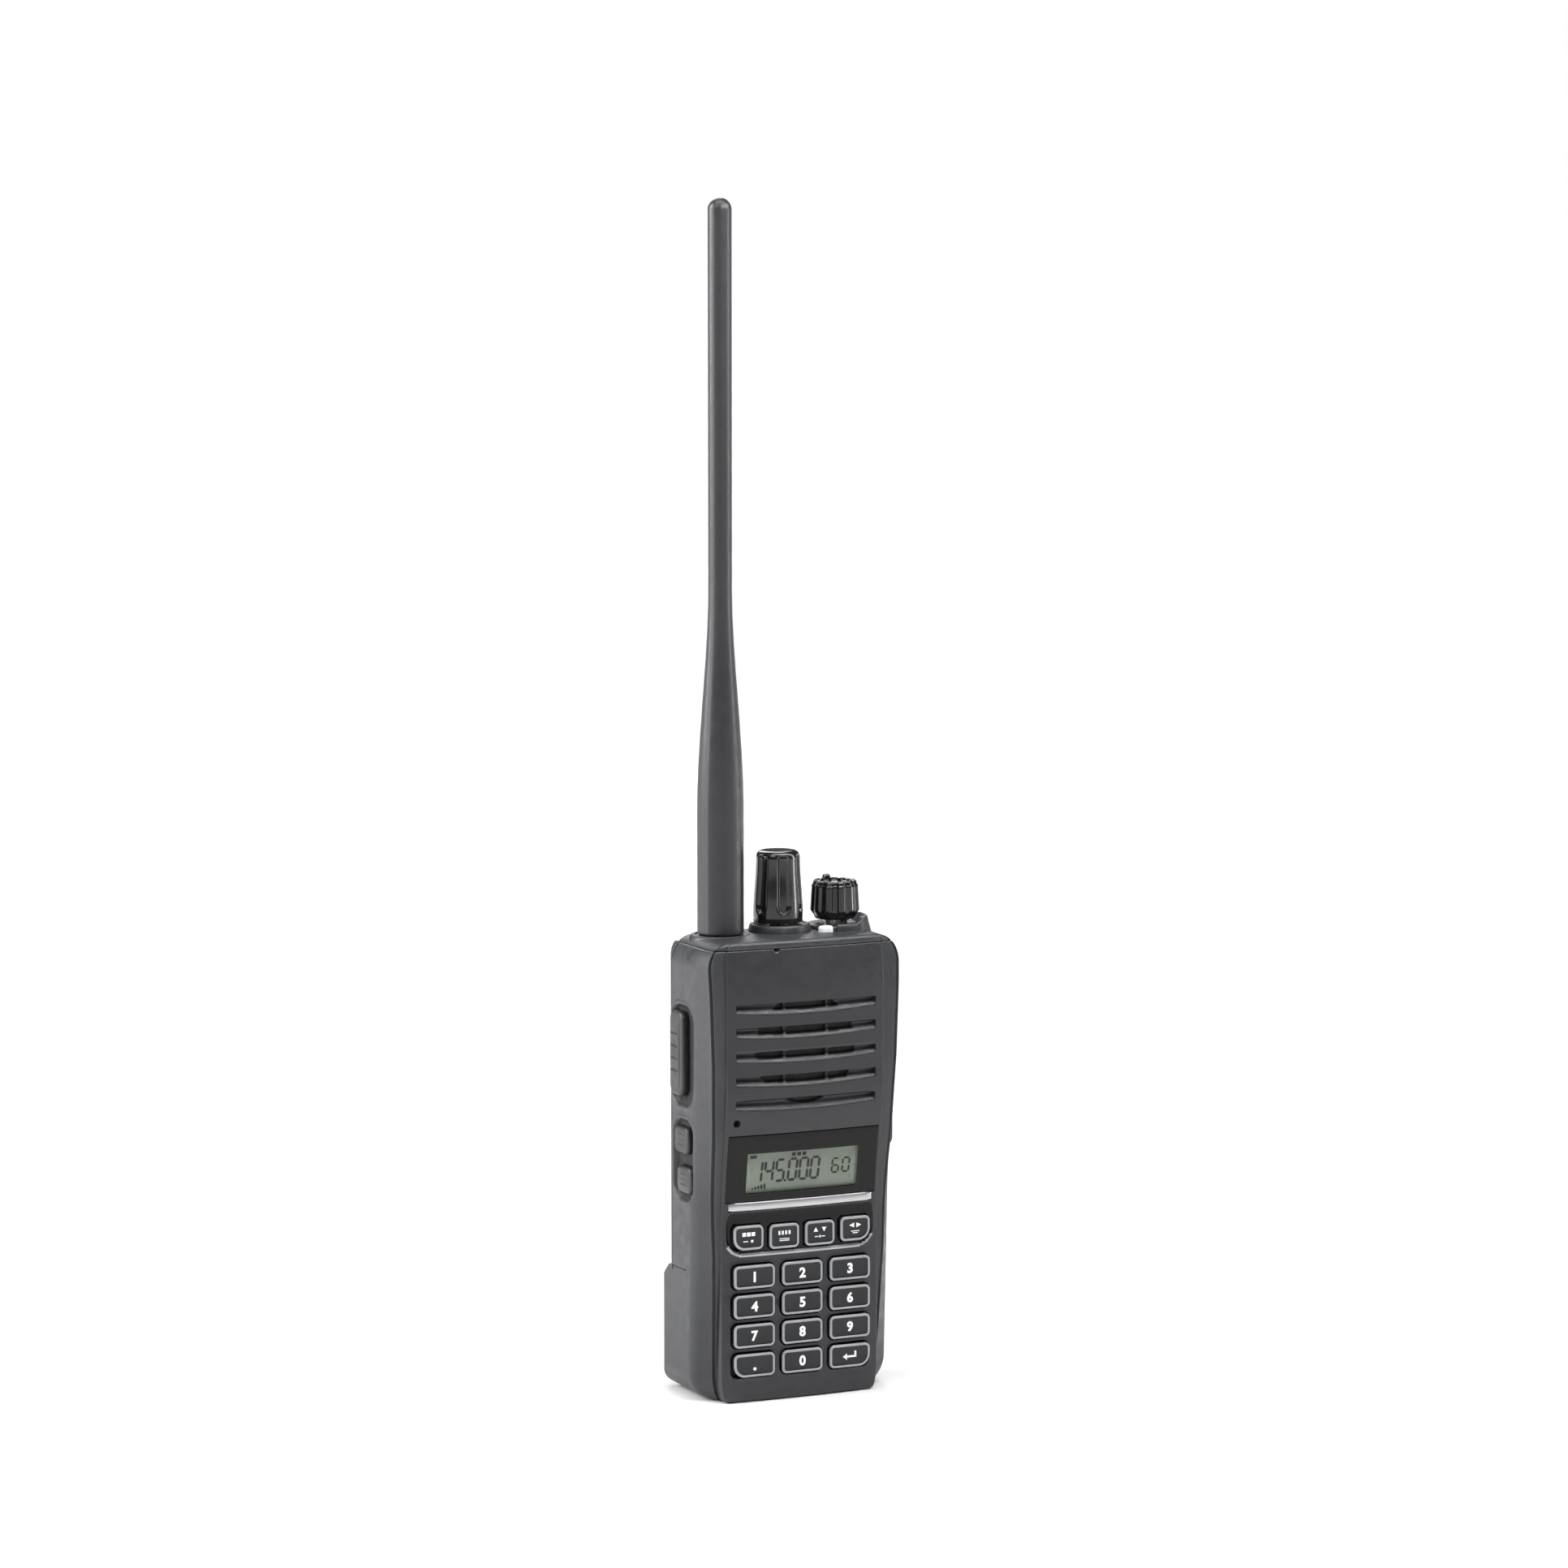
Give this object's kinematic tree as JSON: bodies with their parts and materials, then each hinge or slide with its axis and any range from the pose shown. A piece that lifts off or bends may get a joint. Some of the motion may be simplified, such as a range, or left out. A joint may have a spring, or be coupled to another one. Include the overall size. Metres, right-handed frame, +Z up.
{
  "type": "handheld two-way radio",
  "caption": "Compact handheld two-way radio with a whip antenna, tuning dial, volume knob, keypad, side talk bar and slide-off battery pack.",
  "frame": {"origin": "on the base, below the axis of the tuning dial", "axes": "+X to the viewer's right from the front, -Y out of the keypad, +Z up along the antenna"},
  "size_m": [0.0565, 0.0302, 0.2886],
  "materials": {
    "case_plastic": "fine-grained charcoal",
    "chassis_paint": "textured black",
    "battery_plastic": "fine-grained charcoal",
    "window_gloss": "gloss black",
    "knob_gloss": "gloss black",
    "silver_trim": "bright silver",
    "lcd_glass": "green-grey display",
    "diffuser": "milky",
    "key_top": "satin black",
    "mat_rubber": "grey silicone",
    "button_rubber": "satin black",
    "cover_rubber": "matte black",
    "seal_rubber": "black",
    "antenna_rubber": "satin dark grey",
    "lens_white": "milky white",
    "screw_steel": "plain",
    "control_metal": "pressed metal",
    "gold_plate": "plated",
    "jack_plastic": "moulded black",
    "net_black": "black mesh",
    "cone_paper": "black paper",
    "magnet": "plated",
    "board_green": "solder mask",
    "cell_wrap": "shrink wrap"
  },
  "bodies": {
    "housing": {"front_case": "case_plastic", "rear_chassis": "chassis_paint", "top_panel": "case_plastic", "main_seal": "seal_rubber", "case_screws": "screw_steel", "display_window": "window_gloss", "silver_trim": "silver_trim", "lcd_panel": "lcd_glass", "lcd_backlight": "diffuser", "keypad_mat": "mat_rubber", "side_key_seal": "seal_rubber", "dial_encoder": "control_metal", "volume_control": "control_metal", "indicator_lens": "lens_white", "antenna_socket": "gold_plate", "audio_jack": "jack_plastic", "power_jack": "jack_plastic", "speaker_net": "net_black", "speaker_frame": "control_metal", "speaker_cone": "cone_paper", "speaker_magnet": "magnet", "microphone": "control_metal", "mic_boot": "seal_rubber", "logic_board": "board_green", "rf_board": "board_green", "shield_can": "control_metal", "terminal_block": "gold_plate"},
    "ptt": {"ptt_button": "button_rubber"},
    "side_upper": {"side_key_upper": "button_rubber"},
    "side_lower": {"side_key_lower": "button_rubber"},
    "dial": {"dial_knob": "knob_gloss", "dial_shaft": "screw_steel"},
    "volume": {"volume_knob": "knob_gloss", "volume_shaft": "screw_steel"},
    "antenna": {"antenna_sheath": "antenna_rubber", "antenna_core": "screw_steel", "antenna_plug": "gold_plate"},
    "audio_flap": {"audio_cover": "cover_rubber"},
    "power_flap": {"power_cover": "cover_rubber"},
    "battery": {"battery_case": "battery_plastic", "battery_cells": "cell_wrap", "battery_contacts": "gold_plate"},
    "latch": {"battery_latch": "button_rubber"},
    "function_key_1_body": {"function_key_1": "key_top"},
    "function_key_2_body": {"function_key_2": "key_top"},
    "function_key_3_body": {"function_key_3": "key_top"},
    "function_key_4_body": {"function_key_4": "key_top"},
    "key_1_body": {"key_1": "key_top"},
    "key_2_body": {"key_2": "key_top"},
    "key_3_body": {"key_3": "key_top"},
    "key_4_body": {"key_4": "key_top"},
    "key_5_body": {"key_5": "key_top"},
    "key_6_body": {"key_6": "key_top"},
    "key_7_body": {"key_7": "key_top"},
    "key_8_body": {"key_8": "key_top"},
    "key_9_body": {"key_9": "key_top"},
    "key_point_body": {"key_point": "key_top"},
    "key_0_body": {"key_0": "key_top"},
    "key_enter_body": {"key_enter": "key_top"}
  },
  "joints": [
    {"name": "function_key_1_press", "type": "slide", "parent": "housing", "child": "function_key_1_body", "axis": [0, 1, 0], "range_m": [0, 0.0005], "stiffness_N_per_m": 1500},
    {"name": "function_key_2_press", "type": "slide", "parent": "housing", "child": "function_key_2_body", "axis": [0, 1, 0], "range_m": [0, 0.0005], "stiffness_N_per_m": 1500},
    {"name": "function_key_3_press", "type": "slide", "parent": "housing", "child": "function_key_3_body", "axis": [0, 1, 0], "range_m": [0, 0.0005], "stiffness_N_per_m": 1500},
    {"name": "function_key_4_press", "type": "slide", "parent": "housing", "child": "function_key_4_body", "axis": [0, 1, 0], "range_m": [0, 0.0005], "stiffness_N_per_m": 1500},
    {"name": "key_1_press", "type": "slide", "parent": "housing", "child": "key_1_body", "axis": [0, 1, 0], "range_m": [0, 0.0005], "stiffness_N_per_m": 1500},
    {"name": "key_2_press", "type": "slide", "parent": "housing", "child": "key_2_body", "axis": [0, 1, 0], "range_m": [0, 0.0005], "stiffness_N_per_m": 1500},
    {"name": "key_3_press", "type": "slide", "parent": "housing", "child": "key_3_body", "axis": [0, 1, 0], "range_m": [0, 0.0005], "stiffness_N_per_m": 1500},
    {"name": "key_4_press", "type": "slide", "parent": "housing", "child": "key_4_body", "axis": [0, 1, 0], "range_m": [0, 0.0005], "stiffness_N_per_m": 1500},
    {"name": "key_5_press", "type": "slide", "parent": "housing", "child": "key_5_body", "axis": [0, 1, 0], "range_m": [0, 0.0005], "stiffness_N_per_m": 1500},
    {"name": "key_6_press", "type": "slide", "parent": "housing", "child": "key_6_body", "axis": [0, 1, 0], "range_m": [0, 0.0005], "stiffness_N_per_m": 1500},
    {"name": "key_7_press", "type": "slide", "parent": "housing", "child": "key_7_body", "axis": [0, 1, 0], "range_m": [0, 0.0005], "stiffness_N_per_m": 1500},
    {"name": "key_8_press", "type": "slide", "parent": "housing", "child": "key_8_body", "axis": [0, 1, 0], "range_m": [0, 0.0005], "stiffness_N_per_m": 1500},
    {"name": "key_9_press", "type": "slide", "parent": "housing", "child": "key_9_body", "axis": [0, 1, 0], "range_m": [0, 0.0005], "stiffness_N_per_m": 1500},
    {"name": "key_point_press", "type": "slide", "parent": "housing", "child": "key_point_body", "axis": [0, 1, 0], "range_m": [0, 0.0005], "stiffness_N_per_m": 1500},
    {"name": "key_0_press", "type": "slide", "parent": "housing", "child": "key_0_body", "axis": [0, 1, 0], "range_m": [0, 0.0005], "stiffness_N_per_m": 1500},
    {"name": "key_enter_press", "type": "slide", "parent": "housing", "child": "key_enter_body", "axis": [0, 1, 0], "range_m": [0, 0.0005], "stiffness_N_per_m": 1500},
    {"name": "ptt_press", "type": "slide", "parent": "housing", "child": "ptt", "axis": [1, 0, 0], "range_m": [0, 0.0009], "stiffness_N_per_m": 2500},
    {"name": "side_upper_press", "type": "slide", "parent": "housing", "child": "side_upper", "axis": [1, 0, 0], "range_m": [0, 0.0006], "stiffness_N_per_m": 2500},
    {"name": "side_lower_press", "type": "slide", "parent": "housing", "child": "side_lower", "axis": [1, 0, 0], "range_m": [0, 0.0006], "stiffness_N_per_m": 2500},
    {"name": "dial_turn", "type": "hinge", "parent": "housing", "child": "dial", "pos_m": [0, 0, 0.1146], "axis": [0, 0, 1], "continuous": true},
    {"name": "volume_turn", "type": "hinge", "parent": "housing", "child": "volume", "pos_m": [0.0152, 0, 0.1146], "axis": [0, 0, 1], "range_deg": [-135, 135]},
    {"name": "antenna_turn", "type": "hinge", "parent": "housing", "child": "antenna", "pos_m": [-0.0152, 0, 0.1126], "axis": [0, 0, 1], "continuous": true},
    {"name": "audio_cover_swing", "type": "hinge", "parent": "housing", "child": "audio_flap", "pos_m": [0.0266, 0.0047, 0.09], "axis": [0, 0, 1], "range_deg": [0, 100], "stiffness_Nm_per_rad": 0.002},
    {"name": "power_cover_swing", "type": "hinge", "parent": "housing", "child": "power_flap", "pos_m": [0.0266, 0.0047, 0.0688], "axis": [0, 0, 1], "range_deg": [0, 100], "stiffness_Nm_per_rad": 0.002},
    {"name": "battery_slide", "type": "slide", "parent": "housing", "child": "battery", "axis": [0, 0, -1], "range_m": [0, 0.062]},
    {"name": "latch_slide", "type": "slide", "parent": "housing", "child": "latch", "axis": [0, -1, 0], "range_m": [0, 0.002], "stiffness_N_per_m": 400}
  ]
}
